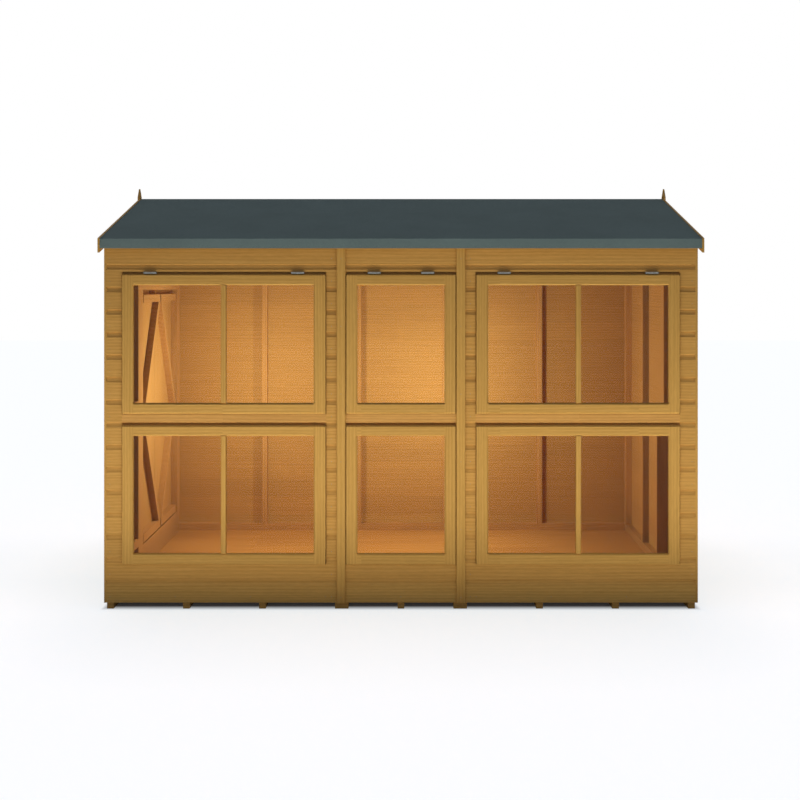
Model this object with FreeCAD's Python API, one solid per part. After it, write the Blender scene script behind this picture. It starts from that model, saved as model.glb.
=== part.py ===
import FreeCAD, Part
import math
import os

# Potting shed, millimetres. The origin is on the ground under the middle of the floor.
# X runs along the ridge, the glazed front faces -Y and Z is up.

# Overall sizes: length outside the cladding, and height of the front and back walls
wall_length = 3000.0
wall_height = 1870.0
roof_pitch_degrees = 15.9

# Panel widths that divide the front and back walls and the gables
centre_panel_width = 600.0
gable_panel_width = 600.0

# Floor
bearer_width = 34.0
bearer_height = 34.0
side_panel_bearers = 4
centre_panel_bearers = 3
floor_board_thickness = 12.0

# Wall framing and cladding
cladding_thickness = 12.0
cladding_skirt = 1.0
stud_width = 34.0
stud_depth = 38.0
rail_height = 44.0
gable_stud_distance = 1156.0
jack_stud_height = 884.0
board_cover = 113.9
scallop_height = 26.0
scallop_depth = 7.0
board_edge_chamfer = 2.0
corner_trim_width = 44.0
cover_strip_width = 45.0
cover_strip_thickness = 12.0
cover_strip_chamfer = 3.0
front_strip_offset = 2.5
strip_soffit_gap = 12.0

# Glazed units: a fixed lower window, a transom and a top-hung sash above it
window_bottom = 227.0
lower_window_height = 704.0
transom_gap = 12.0
transom_height = 42.0
sash_gap = 2.0
head_gap = 9.0
head_depth = 166.0
side_window_inner_margin = 81.0
side_window_outer_margin = 82.0
window_strip_gap = 5.0
gable_window_margin = 13.0
window_clearance = 4.0
window_thickness = 22.0
window_proud = 10.0
sash_seat_gap = 0.5
window_rail_height = 55.0
sash_top_rail_height = 58.0
outer_stile_width = 55.0
inner_stile_width = 60.0
narrow_stile_width = 55.0
glazing_bar_width = 27.0
glass_thickness = 4.0
glass_setback = 12.0
glass_chamfer = 7.0
rail_chamfer = 4.0
edge_chamfer = 8.0
frame_lap = 12.0

# Sash hinges
hinge_length = 65.0
hinge_inset = 140.0
hinge_leaf_thickness = 2.0
hinge_leaf_depth = 18.0
hinge_knuckle_radius = 3.0
hinge_pin_radius = 1.4
pin_clearance = 0.05
knuckle_gap = 0.4

# Casement stays
stay_length = 200.0
stay_width = 14.0
stay_thickness = 3.0
stay_rise = 24.0
stay_gap = 0.3
stay_pin_radius = 2.5
stay_pin_height = 7.0
stay_plate_width = 28.0
stay_plate_thickness = 2.5
stay_plate_height = 22.0
stay_peg_radius = 3.0
stay_peg_height = 10.0
stay_peg_reach = 120.0

# Double doors in the left gable
door_front_margin = 53.0
door_opening_width = 1019.0
door_back_margin = 74.0
door_head_depth = 246.0
door_bottom_gap = 3.0
door_side_gap = 3.0
door_meeting_gap = 4.0
door_seat_gap = 0.5
door_boards_per_leaf = 5
door_board_chamfer = 3.0
ledge_height = 45.0
ledge_thickness = 36.0
ledge_end_margin = 38.5
ledge_hinge_margin = 37.0
ledge_meeting_margin = 13.0
brace_width = 45.0

# Door tee hinges and turn button
tee_end_margin = 150.0
strap_length = 300.0
strap_root_height = 40.0
strap_tip_height = 18.0
strap_thickness = 2.5
tee_plate_width = 26.0
tee_plate_height = 110.0
tee_knuckle_radius = 5.0
tee_pin_radius = 2.5
button_length = 100.0
button_width = 24.0
button_thickness = 11.0
button_gap = 0.4
button_edge_margin = 30.0
button_screw_radius = 3.0
button_head_radius = 6.0
button_head_height = 3.0
button_pivot_height = 730.0

# Roof
roof_overhang = 50.0
gable_overhang = 10.0
deck_thickness = 12.0
felt_thickness = 2.0
felt_ridge_lap = 150.0
eave_batten_depth = 34.0
eave_batten_height = 34.0
rafter_width = 34.0
rafter_depth = 44.0
gusset_thickness = 9.0
gusset_half_width = 220.0
gusset_drop = 110.0
barge_thickness = 10.0
barge_depth = 72.0
barge_proud = 3.0
barge_eave_reach = 3.0
finial_width = 20.0
finial_drop = 30.0
finial_shoulder_rise = 8.0
finial_rise = 57.0
finial_tip_width = 7.0

# Sizes worked out from those above
wall_depth = (gable_panel_width + door_front_margin + door_opening_width
              + door_back_margin + corner_trim_width)
half_length = wall_length / 2
half_depth = wall_depth / 2
frame_half_length = half_length - cladding_thickness
frame_half_depth = half_depth - cladding_thickness
gable_frame_half = frame_half_depth - stud_depth
gable_board_half = half_depth - corner_trim_width
joint = centre_panel_width / 2
gable_joint = half_depth - gable_panel_width
floor_top = bearer_height + floor_board_thickness
cladding_bottom = bearer_height - cladding_skirt
frame_back = cladding_thickness + stud_depth
slope = math.tan(math.radians(roof_pitch_degrees))
slope_stretch = 1 / math.cos(math.radians(roof_pitch_degrees))
lower_window_top = window_bottom + lower_window_height
transom_bottom = lower_window_top + transom_gap
transom_top = transom_bottom + transom_height
sash_bottom = transom_top + sash_gap
opening_top = wall_height - head_depth
sash_top = opening_top - head_gap
window_front = -window_proud
sash_front = window_front - sash_seat_gap
sash_back = sash_front + window_thickness
hinge_axis_depth = sash_front
hinge_axis_height = (sash_top + opening_top) / 2
plinth_top = cladding_bottom + board_cover
door_bottom = plinth_top + door_bottom_gap
door_top = wall_height - door_head_depth
door_height = door_top - door_bottom
door_edge_front = gable_joint - door_front_margin
door_edge_back = door_edge_front - door_opening_width
door_meeting = (door_edge_front + door_edge_back) / 2
leaf_back = cladding_thickness - door_seat_gap
tee_axis_depth = -tee_knuckle_radius
eave_outer = half_depth + roof_overhang
eave_inner = eave_outer - felt_thickness
deck_half_length = half_length + gable_overhang
full_height = wall_height + half_depth * slope

# Which way each wall faces: turn about Z from the front wall, and distance from the middle
front_wall = (0.0, half_depth)
back_wall = (180.0, half_depth)
right_gable = (90.0, half_length)
left_gable = (-90.0, half_length)

up = FreeCAD.Vector(0, 0, 1)
along = FreeCAD.Vector(1, 0, 0)
outward = FreeCAD.Vector(0, -1, 0)


def box(x0, x1, y0, y1, z0, z1):
    corner = FreeCAD.Vector(x0, y0, z0)
    return Part.makeBox(x1 - x0, y1 - y0, z1 - z0, corner)


def polygon_face(points):
    return Part.Face(Part.makePolygon(points + points[:1]))


def prism_x(outline, x0, x1):
    points = [FreeCAD.Vector(x0, y, z) for y, z in outline]
    return polygon_face(points).extrude(FreeCAD.Vector(x1 - x0, 0, 0))


def prism_y(outline, y0, y1):
    points = [FreeCAD.Vector(x, y0, z) for x, z in outline]
    return polygon_face(points).extrude(FreeCAD.Vector(0, y1 - y0, 0))


def rod(x, y, z, radius, length, direction):
    return Part.makeCylinder(radius, length, FreeCAD.Vector(x, y, z), direction)


def on_wall(solids, wall):
    turn, distance = wall
    placed = []
    for solid in solids:
        moved = solid.copy()
        moved.translate(FreeCAD.Vector(0, -distance, 0))
        moved.rotate(FreeCAD.Vector(0, 0, 0), up, turn)
        placed.append(moved)
    return placed


def save(node, solids):
    separate = []
    for solid in solids:
        separate.extend(solid.Solids)
    Part.makeCompound(separate).exportStep("parts/" + node + ".step")


def deck_underside(y):
    return wall_height + (half_depth - abs(y)) * slope


def deck_top(y):
    return deck_underside(y) + deck_thickness * slope_stretch


def felt_top(y):
    return deck_top(y) + felt_thickness * slope_stretch


# Cladding

def shiplap_board(u0, u1, low):
    high = low + board_cover
    radius = (scallop_depth ** 2 + scallop_height ** 2) / (2 * scallop_depth)
    half_turn = math.asin(scallop_height / radius) / 2
    scoop_start = FreeCAD.Vector(u0, 0, high - scallop_height)
    scoop_middle = FreeCAD.Vector(
        u0,
        scallop_depth - radius * (1 - math.cos(half_turn)),
        high - radius * math.sin(half_turn))
    scoop_end = FreeCAD.Vector(u0, scallop_depth, high)
    corners = [
        scoop_end,
        FreeCAD.Vector(u0, cladding_thickness, high),
        FreeCAD.Vector(u0, cladding_thickness, low),
        FreeCAD.Vector(u0, board_edge_chamfer, low),
        FreeCAD.Vector(u0, 0, low + board_edge_chamfer),
        scoop_start,
    ]
    edges = [Part.LineSegment(a, b).toShape() for a, b in zip(corners, corners[1:])]
    edges.append(Part.Arc(scoop_start, scoop_middle, scoop_end).toShape())
    return Part.Face(Part.Wire(edges)).extrude(FreeCAD.Vector(u1 - u0, 0, 0))


def height_spans(low, high, left, right, openings):
    spans = [(low, high)]
    for u0, u1, z0, z1 in openings:
        if u0 >= right or u1 <= left:
            continue
        remaining = []
        for span_low, span_high in spans:
            if z0 > span_low:
                remaining.append((span_low, min(span_high, z0)))
            if z1 < span_high:
                remaining.append((max(span_low, z1), span_high))
        spans = remaining
    return [span for span in spans if span[1] > span[0]]


def shiplap_panel(u0, u1, openings, top):
    # Rows of boards from the skirt up, each cut off at the edges of the openings.
    boards = []
    cuts = {u0, u1}
    for left, right, _, _ in openings:
        cuts.update(edge for edge in (left, right) if u0 < edge < u1)
    cuts = sorted(cuts)
    for row in range(math.ceil((top - cladding_bottom) / board_cover)):
        low = cladding_bottom + row * board_cover
        high = min(low + board_cover, top)
        cells = []
        for left, right in zip(cuts, cuts[1:]):
            for span in height_spans(low, high, left, right, openings):
                if cells and cells[-1][1] == left and cells[-1][2] == span:
                    cells[-1] = (cells[-1][0], right, span)
                else:
                    cells.append((left, right, span))
        for left, right, (z0, z1) in cells:
            board = shiplap_board(left, right, low)
            boards.append(board.common(box(left, right, 0, cladding_thickness, z0, z1)))
    return boards


def gable_trimmed(boards):
    outline = [
        (-half_depth, cladding_bottom),
        (half_depth, cladding_bottom),
        (half_depth, deck_underside(half_depth)),
        (0, deck_underside(0)),
        (-half_depth, deck_underside(half_depth)),
    ]
    gable = prism_y(outline, 0, cladding_thickness)
    trimmed = [board.common(gable) for board in boards]
    return [board for board in trimmed if board.Solids]


def cover_strip(centre, top):
    left = centre - cover_strip_width / 2
    right = centre + cover_strip_width / 2
    outline = [
        (left, 0),
        (right, 0),
        (right, cover_strip_chamfer - cover_strip_thickness),
        (right - cover_strip_chamfer, -cover_strip_thickness),
        (left + cover_strip_chamfer, -cover_strip_thickness),
        (left, cover_strip_chamfer - cover_strip_thickness),
    ]
    points = [FreeCAD.Vector(u, y, cladding_bottom) for u, y in outline]
    return polygon_face(points).extrude(FreeCAD.Vector(0, 0, top - cladding_bottom))


# Wall framing

def framing(u0, u1, z0, z1):
    return box(u0, u1, cladding_thickness, frame_back, z0, z1)


def straight_frame(u0, u1, studs):
    # A rectangular panel: end studs, inner studs named by their left edge, and two rails.
    rail_top = wall_height - rail_height
    stud_foot = floor_top + rail_height
    pieces = [
        framing(u0, u1, floor_top, stud_foot),
        framing(u0, u1, rail_top, wall_height),
    ]
    for left in [u0, u1 - stud_width] + studs:
        pieces.append(framing(left, left + stud_width, stud_foot, rail_top))
    return pieces


def window_trimmers(stud_left, stud_right, left, right, stud_top):
    # Jambs, sill, transom and head that a glazed unit closes on, between two studs.
    stud_foot = floor_top + rail_height
    jamb_left = max(stud_left, left + frame_lap)
    jamb_right = min(stud_right, right - frame_lap)
    pieces = []
    if jamb_left > stud_left:
        pieces.append(framing(stud_left, jamb_left, stud_foot, stud_top))
    if jamb_right < stud_right:
        pieces.append(framing(jamb_right, stud_right, stud_foot, stud_top))
    sill_top = window_bottom + frame_lap
    head_bottom = sash_top - frame_lap
    pieces.append(framing(jamb_left, jamb_right, sill_top - rail_height, sill_top))
    pieces.append(framing(jamb_left, jamb_right, lower_window_top - frame_lap, sash_bottom + frame_lap))
    pieces.append(framing(jamb_left, jamb_right, head_bottom, opening_top + frame_lap))
    return pieces


def transom_board(left, right):
    u0 = left - window_clearance
    u1 = right + window_clearance
    front = 0
    outline = [
        (cladding_thickness, transom_bottom),
        (cladding_thickness, transom_top),
        (front, transom_top),
        (front, transom_bottom + rail_chamfer),
        (front + rail_chamfer, transom_bottom),
    ]
    return prism_x(outline, u0, u1)


# Window joinery

def window_frame(left, right, low, high, stile_widths, bars, front, top_rail_height, foot_chamfer):
    # Two stiles, two rails and any glazing bars, each with a chamfer beside the glass.
    back = front + window_thickness
    glass_low = low + window_rail_height
    glass_high = high - top_rail_height
    glass_left = left + stile_widths[0]
    glass_right = right - stile_widths[1]
    pieces = []
    for outer, inner in ((left, glass_left), (right, glass_right)):
        stile = box(min(outer, inner), max(outer, inner), front, back, low, high)
        side = 1 if inner > outer else -1
        corner = [
            (inner, front),
            (inner, front + glass_chamfer),
            (inner - side * glass_chamfer, front),
        ]
        points = [FreeCAD.Vector(u, y, glass_low) for u, y in corner]
        stile = stile.cut(polygon_face(points).extrude(FreeCAD.Vector(0, 0, glass_high - glass_low)))
        head_corner = [
            (front, high),
            (front + edge_chamfer, high),
            (front, high - edge_chamfer),
        ]
        foot_corner = [
            (front, low),
            (front + foot_chamfer, low),
            (front, low + foot_chamfer),
        ]
        stile = stile.cut(prism_x(head_corner, left, right))
        pieces.append(stile.cut(prism_x(foot_corner, left, right)))
    bottom_rail = [
        (back, low),
        (back, glass_low),
        (front + glass_chamfer, glass_low),
        (front, glass_low - glass_chamfer),
        (front, low + foot_chamfer),
        (front + foot_chamfer, low),
    ]
    top_rail = [
        (back, high),
        (back, glass_high),
        (front + glass_chamfer, glass_high),
        (front, glass_high + glass_chamfer),
        (front, high - edge_chamfer),
        (front + edge_chamfer, high),
    ]
    pieces.append(prism_x(bottom_rail, glass_left, glass_right))
    pieces.append(prism_x(top_rail, glass_left, glass_right))
    panes = []
    pane_left = glass_left
    pane_front = front + glass_setback
    pane_back = pane_front + glass_thickness
    for bar in range(bars):
        middle = glass_left + (glass_right - glass_left) * (bar + 1) / (bars + 1)
        bar_left = middle - glazing_bar_width / 2
        bar_right = middle + glazing_bar_width / 2
        outline = [
            (bar_left, back),
            (bar_right, back),
            (bar_right, front + rail_chamfer),
            (bar_right - rail_chamfer, front),
            (bar_left + rail_chamfer, front),
            (bar_left, front + rail_chamfer),
        ]
        points = [FreeCAD.Vector(u, y, glass_low) for u, y in outline]
        pieces.append(polygon_face(points).extrude(FreeCAD.Vector(0, 0, glass_high - glass_low)))
        panes.append(box(pane_left, bar_left, pane_front, pane_back, glass_low, glass_high))
        pane_left = bar_right
    panes.append(box(pane_left, glass_right, pane_front, pane_back, glass_low, glass_high))
    return pieces, panes


def knuckle(u0, u1, depth, height, radius, pin_radius):
    barrel = rod(u0, depth, height, radius, u1 - u0, along)
    return barrel.cut(rod(u0, depth, height, pin_radius + pin_clearance, u1 - u0, along))


def sash_hinge(centre):
    # A butt hinge on a pin along the top of the sash: fixed leaf, moving leaf and pin.
    # Each leaf is notched round the knuckles of the other.
    third = hinge_length / 3
    u0 = centre - hinge_length / 2
    u1 = centre + hinge_length / 2
    inner0 = u0 + third
    inner1 = u1 - third
    notch = hinge_axis_depth + hinge_knuckle_radius + knuckle_gap
    fixed_low = opening_top - hinge_leaf_thickness
    fixed = box(u0, u1, notch, cladding_thickness, fixed_low, opening_top)
    for a, b in ((u0, inner0), (inner1, u1)):
        fixed = fixed.fuse(box(a, b, hinge_axis_depth, notch, fixed_low, opening_top))
        fixed = fixed.fuse(knuckle(
            a, b, hinge_axis_depth, hinge_axis_height, hinge_knuckle_radius, hinge_pin_radius))
    a = inner0 + knuckle_gap
    b = inner1 - knuckle_gap
    leaf_back_edge = sash_front + hinge_leaf_depth
    moving_high = sash_top + hinge_leaf_thickness
    moving = box(u0, u1, notch, leaf_back_edge, sash_top, moving_high)
    moving = moving.fuse(box(a, b, hinge_axis_depth, notch, sash_top, moving_high))
    moving = moving.fuse(knuckle(
        a, b, hinge_axis_depth, hinge_axis_height, hinge_knuckle_radius, hinge_pin_radius))
    pin = rod(u0, hinge_axis_depth, hinge_axis_height, hinge_pin_radius, hinge_length, along)
    return fixed.removeSplitter(), moving.removeSplitter(), pin


def casement_stay(pivot):
    # A bracket with an upright pin on the sash, a swinging arm, and a peg on the transom.
    shelf_top = sash_bottom + stay_rise + stay_plate_thickness
    pin_depth = sash_back + stay_plate_thickness + stay_gap + stay_width / 2
    shelf_back = pin_depth + stay_width / 2
    half_plate = stay_plate_width / 2
    plate_back = sash_back + stay_plate_thickness
    shelf_bottom = shelf_top - stay_plate_thickness
    bracket = box(pivot - half_plate, pivot + half_plate, sash_back, shelf_back, shelf_bottom, shelf_top)
    bracket = bracket.fuse(box(
        pivot - half_plate, pivot + half_plate, sash_back, plate_back,
        shelf_bottom, shelf_bottom + stay_plate_height))
    bracket = bracket.fuse(rod(pivot, pin_depth, shelf_top, stay_pin_radius, stay_pin_height, up))
    arm_bottom = shelf_top + stay_gap
    tip = pivot + stay_length
    arm = box(pivot, tip, pin_depth - stay_width / 2, pin_depth + stay_width / 2,
              arm_bottom, arm_bottom + stay_thickness)
    for end in (pivot, tip):
        arm = arm.fuse(rod(end, pin_depth, arm_bottom, stay_width / 2, stay_thickness, up))
    for hole in (pivot, pivot + stay_peg_reach):
        radius = stay_pin_radius + pin_clearance if hole == pivot else stay_peg_radius + stay_gap
        arm = arm.cut(rod(hole, pin_depth, arm_bottom, radius, stay_thickness, up))
    peg = rod(pivot + stay_peg_reach, pin_depth, sash_bottom + frame_lap,
              stay_peg_radius, stay_peg_height, up)
    return bracket.removeSplitter(), arm.removeSplitter(), peg


def glazed_unit(name, wall, left, right, stile_widths, bars):
    lower, lower_panes = window_frame(
        left, right, window_bottom, lower_window_top, stile_widths, bars, window_front,
        window_rail_height, rail_chamfer)
    sash, sash_panes = window_frame(
        left, right, sash_bottom, sash_top, stile_widths, bars, sash_front,
        sash_top_rail_height, edge_chamfer)
    fixed_leaves = []
    moving_leaves = []
    pins = []
    for centre in (left + hinge_inset, right - hinge_inset):
        fixed, moving, pin = sash_hinge(centre)
        fixed_leaves.append(fixed)
        moving_leaves.append(moving)
        pins.append(pin)
    bracket, arm, peg = casement_stay((left + right - stay_length) / 2)
    save("lower_window_" + name, on_wall(lower, wall))
    save("sash_frame_" + name, on_wall(sash, wall))
    save("sash_panes_" + name, on_wall(sash_panes, wall))
    save("sash_fittings_" + name, on_wall(moving_leaves + [bracket], wall))
    save("stay_arm_" + name, on_wall([arm], wall))
    lower_window_panes.extend(on_wall(lower_panes, wall))
    sash_hinge_plates.extend(on_wall(fixed_leaves, wall))
    sash_hinge_pins.extend(on_wall(pins, wall))
    stay_pegs.extend(on_wall([peg], wall))


# Doors

def door_leaf(hinge_edge, meeting_edge):
    # Upright boards with chamfered joints; hinge_edge and meeting_edge are along the wall.
    low_edge = min(hinge_edge, meeting_edge)
    width = abs(meeting_edge - hinge_edge) / door_boards_per_leaf
    boards = []
    for index in range(door_boards_per_leaf):
        left = low_edge + index * width
        right = left + width
        outline = [
            (left, leaf_back),
            (right, leaf_back),
            (right, door_board_chamfer),
            (right - door_board_chamfer, 0),
            (left + door_board_chamfer, 0),
            (left, door_board_chamfer),
        ]
        points = [FreeCAD.Vector(u, y, door_bottom) for u, y in outline]
        boards.append(polygon_face(points).extrude(FreeCAD.Vector(0, 0, door_height)))
    return boards


def door_bracing(hinge_edge, meeting_edge):
    # Top and bottom ledges, and two braces that meet at the hinge side half way up.
    side = 1 if hinge_edge > meeting_edge else -1
    near = meeting_edge + side * ledge_meeting_margin
    far = hinge_edge - side * ledge_hinge_margin
    ledge_back = leaf_back + ledge_thickness
    top_high = door_top - ledge_end_margin
    top_low = top_high - ledge_height
    bottom_low = door_bottom + ledge_end_margin
    bottom_high = bottom_low + ledge_height
    middle = (top_low + bottom_high) / 2
    pieces = []
    for z0, z1 in ((top_low, top_high), (bottom_low, bottom_high)):
        pieces.append(box(min(near, far), max(near, far), leaf_back, ledge_back, z0, z1))
    for end in (top_low, bottom_high):
        outline = [
            (near, end),
            (near + side * brace_width, end),
            (far, middle),
            (far - side * brace_width, middle),
        ]
        pieces.append(prism_y(outline, leaf_back, ledge_back))
    return pieces


def tee_hinge(axis, side, middle):
    # An upright plate on the wall, a tapered strap on the leaf and the pin between them.
    half_root = strap_root_height / 2
    half_tip = strap_tip_height / 2
    half_plate = tee_plate_height / 2
    reach = axis - side * strap_length
    strap_outline = [
        (axis, middle - half_root + knuckle_gap),
        (axis, middle + half_root - knuckle_gap),
        (reach, middle + half_tip),
        (reach, middle - half_tip),
    ]
    strap = prism_y(strap_outline, -strap_thickness, 0)
    centre_barrel = rod(axis, tee_axis_depth, middle - half_root + knuckle_gap,
                        tee_knuckle_radius, strap_root_height - 2 * knuckle_gap, up)
    bore_radius = tee_pin_radius + pin_clearance
    bore = rod(axis, tee_axis_depth, middle - half_plate, bore_radius, tee_plate_height, up)
    strap = strap.fuse(centre_barrel).cut(bore)
    plate_inner = axis + side * (tee_knuckle_radius + knuckle_gap)
    plate_outer = axis + side * tee_plate_width
    plate = box(min(plate_inner, plate_outer), max(plate_inner, plate_outer), -strap_thickness, 0,
                middle - half_plate, middle + half_plate)
    for z0, z1 in ((middle - half_plate, middle - half_root), (middle + half_root, middle + half_plate)):
        plate = plate.fuse(box(min(axis, plate_outer), max(axis, plate_outer), -strap_thickness, 0, z0, z1))
        plate = plate.fuse(rod(axis, tee_axis_depth, z0, tee_knuckle_radius, z1 - z0, up))
    plate = plate.cut(bore)
    pin = rod(axis, tee_axis_depth, middle - half_plate, tee_pin_radius, tee_plate_height, up)
    return strap.removeSplitter(), plate.removeSplitter(), pin


def turn_button(pivot):
    # A round-ended button that stands upright when free and turns across the meeting gap.
    height = door_bottom + button_pivot_height
    back = -button_gap
    front = back - button_thickness
    half_width = button_width / 2
    half_straight = button_length / 2 - half_width
    button = box(pivot - half_width, pivot + half_width, front, back,
                 height - half_straight, height + half_straight)
    for end in (height - half_straight, height + half_straight):
        button = button.fuse(rod(pivot, back, end, half_width, button_thickness, outward))
    hole_radius = button_screw_radius + pin_clearance
    button = button.cut(rod(pivot, back, height, hole_radius, button_thickness, outward))
    screw = rod(pivot, 0, height, button_screw_radius, button_gap * 2 + button_thickness, outward)
    head_back = front - button_gap
    screw = screw.fuse(rod(pivot, head_back, height, button_head_radius, button_head_height, outward))
    return button.removeSplitter(), screw.removeSplitter()


# Gable framing

def sloped_stud(left, right, low):
    # A stud whose head is cut to fit under the sloping top rail.
    def head(u):
        return deck_underside(u) - rafter_depth * slope_stretch
    points = [(left, low), (right, low), (right, head(right))]
    if left < 0 < right:
        points.append((0, head(0)))
    points.append((left, head(left)))
    return prism_y(points, cladding_thickness, frame_back)


def sloping_member(y_low, y_high):
    # Outline of a rafter or gable top rail between two distances from the ridge.
    drop = rafter_depth * slope_stretch
    return [
        (y_low, deck_underside(y_low) - drop),
        (y_low, deck_underside(y_low)),
        (y_high, deck_underside(y_high)),
        (y_high, deck_underside(y_high) - drop),
    ]


def gable_top_rails():
    rails = []
    for side in (-1, 1):
        rails.append(prism_y(sloping_member(side * gable_frame_half, 0), cladding_thickness, frame_back))
    return rails


# Roof pieces

def roof_panels(side):
    # Three deck sheets on one slope with the batten that stiffens their eave.
    outline = [
        (0, deck_underside(0)),
        (0, deck_top(0)),
        (side * eave_inner, deck_top(eave_inner)),
        (side * eave_inner, deck_underside(eave_inner)),
    ]
    batten_inner = eave_inner - eave_batten_depth
    batten_bottom = deck_underside(eave_inner) - eave_batten_height
    batten = [
        (side * eave_inner, batten_bottom),
        (side * eave_inner, deck_underside(eave_inner)),
        (side * batten_inner, deck_underside(batten_inner)),
        (side * batten_inner, batten_bottom),
    ]
    pieces = []
    for x0, x1 in ((-deck_half_length, -joint), (-joint, joint), (joint, deck_half_length)):
        pieces.append(prism_x(outline, x0, x1))
        pieces.append(prism_x(batten, x0, x1))
    return pieces


def felt_outline(side, ridge_end):
    # From the far edge of the sheet, over the slope and down the eave.
    drop = deck_underside(eave_inner) - eave_batten_height
    start = [(ridge_end, deck_top(ridge_end)), (ridge_end, felt_top(ridge_end))]
    crossing = ridge_end * side < 0
    if crossing:
        start.append((0, felt_top(0)))
    eave = [
        (side * eave_outer, felt_top(eave_outer)),
        (side * eave_outer, drop),
        (side * eave_inner, drop),
        (side * eave_inner, deck_top(eave_inner)),
    ]
    if crossing:
        eave.append((0, deck_top(0)))
    return start + eave


def bargeboard(side, end):
    inner = side * finial_width / 2
    outer = side * (eave_outer + barge_eave_reach)
    outline = []
    for y in (inner, outer):
        outline.append((y, felt_top(y) + barge_proud))
    for y in (outer, inner):
        outline.append((y, felt_top(y) + barge_proud - barge_depth))
    near = end * deck_half_length
    return prism_x(outline, near, near + end * barge_thickness)


def finial(end):
    # A square post between the bargeboards that tapers to a spear above the ridge.
    middle = end * (deck_half_length + finial_width / 2)
    ridge = felt_top(0)
    bottom = ridge + barge_proud - barge_depth - finial_drop
    levels = (
        (bottom, finial_tip_width),
        (bottom + finial_drop, finial_width),
        (ridge + finial_shoulder_rise, finial_width),
        (ridge + finial_rise, finial_tip_width),
    )
    wires = []
    for height, width in levels:
        half = width / 2
        corners = [(-half, -half), (half, -half), (half, half), (-half, half), (-half, -half)]
        wires.append(Part.makePolygon([FreeCAD.Vector(middle + x, y, height) for x, y in corners]))
    return Part.makeLoft(wires, True, True)


os.makedirs("parts", exist_ok=True)
lower_window_panes = []
sash_hinge_plates = []
sash_hinge_pins = []
stay_pegs = []

# Floor: three boarded panels, each on its own bearers that run from front to back
panel_edges = (
    ("left", -frame_half_length, -joint, side_panel_bearers),
    ("centre", -joint, joint, centre_panel_bearers),
    ("right", joint, frame_half_length, side_panel_bearers),
)
bearers = []
for name, x0, x1, count in panel_edges:
    floor = box(x0, x1, -frame_half_depth, frame_half_depth, bearer_height, floor_top)
    save("floor_panel_" + name, [floor])
    pitch = (x1 - x0 - bearer_width) / (count - 1)
    for index in range(count):
        left = x0 + index * pitch
        right = left + bearer_width
        bearers.append(box(left, right, -frame_half_depth, frame_half_depth, 0, bearer_height))
save("floor_bearers", bearers)

# Front wall: three panels, each filled by one glazed unit
side_window_inner = joint + side_window_inner_margin
side_window_outer = frame_half_length - side_window_outer_margin
centre_window_half = joint + front_strip_offset - cover_strip_width / 2 - window_strip_gap
left_stiles = (outer_stile_width, inner_stile_width)
right_stiles = (inner_stile_width, outer_stile_width)
narrow_stiles = (narrow_stile_width, narrow_stile_width)
front_units = (
    ("left", -frame_half_length, -joint, -side_window_outer, -side_window_inner, left_stiles, 1),
    ("centre", -joint, joint, -centre_window_half, centre_window_half, narrow_stiles, 0),
    ("right", joint, frame_half_length, side_window_inner, side_window_outer, right_stiles, 1),
)
front_boards = []
for name, x0, x1, left, right, stile_widths, bars in front_units:
    studs = window_trimmers(x0 + stud_width, x1 - stud_width, left, right, wall_height - rail_height)
    panel = straight_frame(x0, x1, []) + studs + [transom_board(left, right)]
    save("front_frame_" + name, on_wall(panel, front_wall))
    opening = (left - window_clearance, right + window_clearance, window_bottom, opening_top)
    front_boards.extend(shiplap_panel(x0, x1, [opening], wall_height))
    glazed_unit(name, front_wall, left, right, stile_widths, bars)
save("front_shiplap", on_wall(front_boards, front_wall))

# Back wall: three plain panels
back_stud = (joint + frame_half_length) / 2
back_frame = []
back_boards = []
for x0, x1, studs in (
    (-frame_half_length, -joint, [-back_stud - stud_width / 2]),
    (-joint, joint, []),
    (joint, frame_half_length, [back_stud - stud_width / 2]),
):
    back_frame.extend(straight_frame(x0, x1, studs))
    back_boards.extend(shiplap_panel(x0, x1, [], wall_height))
save("back_frame", on_wall(back_frame, back_wall))
save("back_shiplap", on_wall(back_boards, back_wall))

# Right gable: two plain panels, with a jack stud against the joint stud
stud_foot = floor_top + rail_height
right_joint = -gable_joint
middle_stud = gable_stud_distance - half_depth
right_frame = gable_top_rails()
right_frame.append(framing(-gable_frame_half, right_joint, floor_top, stud_foot))
right_frame.append(framing(right_joint, gable_frame_half, floor_top, stud_foot))
for left in (-gable_frame_half, right_joint - stud_width, right_joint, middle_stud,
             gable_frame_half - stud_width):
    right_frame.append(sloped_stud(left, left + stud_width, stud_foot))
right_frame.append(box(right_joint - stud_width, right_joint, frame_back, frame_back + stud_depth,
                       floor_top, floor_top + jack_stud_height))
save("right_gable_frame", on_wall(right_frame, right_gable))
right_boards = []
for u0, u1 in ((-gable_board_half, right_joint), (right_joint, gable_board_half)):
    right_boards.extend(shiplap_panel(u0, u1, [], full_height))
save("right_gable_shiplap", on_wall(gable_trimmed(right_boards), right_gable))

# Left gable: a glazed panel at the front and the doorway behind it
gable_window_left = gable_joint + cover_strip_width / 2 + gable_window_margin
gable_window_right = gable_board_half - window_clearance
joint_stud = gable_joint + stud_width
corner_stud = gable_frame_half - stud_width
door_jamb_front = door_edge_front - door_side_gap - frame_lap
door_jamb_back = door_edge_back + door_side_gap + frame_lap
door_head = door_top - frame_lap
left_frame = gable_top_rails()
left_frame.append(framing(gable_joint, gable_frame_half, floor_top, stud_foot))
left_frame.append(framing(-gable_frame_half, gable_joint, floor_top, stud_foot))
for left in (-gable_frame_half, gable_joint - stud_width, gable_joint, corner_stud):
    left_frame.append(sloped_stud(left, left + stud_width, stud_foot))
left_frame.extend(window_trimmers(
    joint_stud, corner_stud, gable_window_left, gable_window_right, opening_top + frame_lap))
left_frame.append(transom_board(gable_window_left, gable_window_right))
left_frame.append(framing(door_jamb_front, gable_joint - stud_width, stud_foot, door_head))
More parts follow.
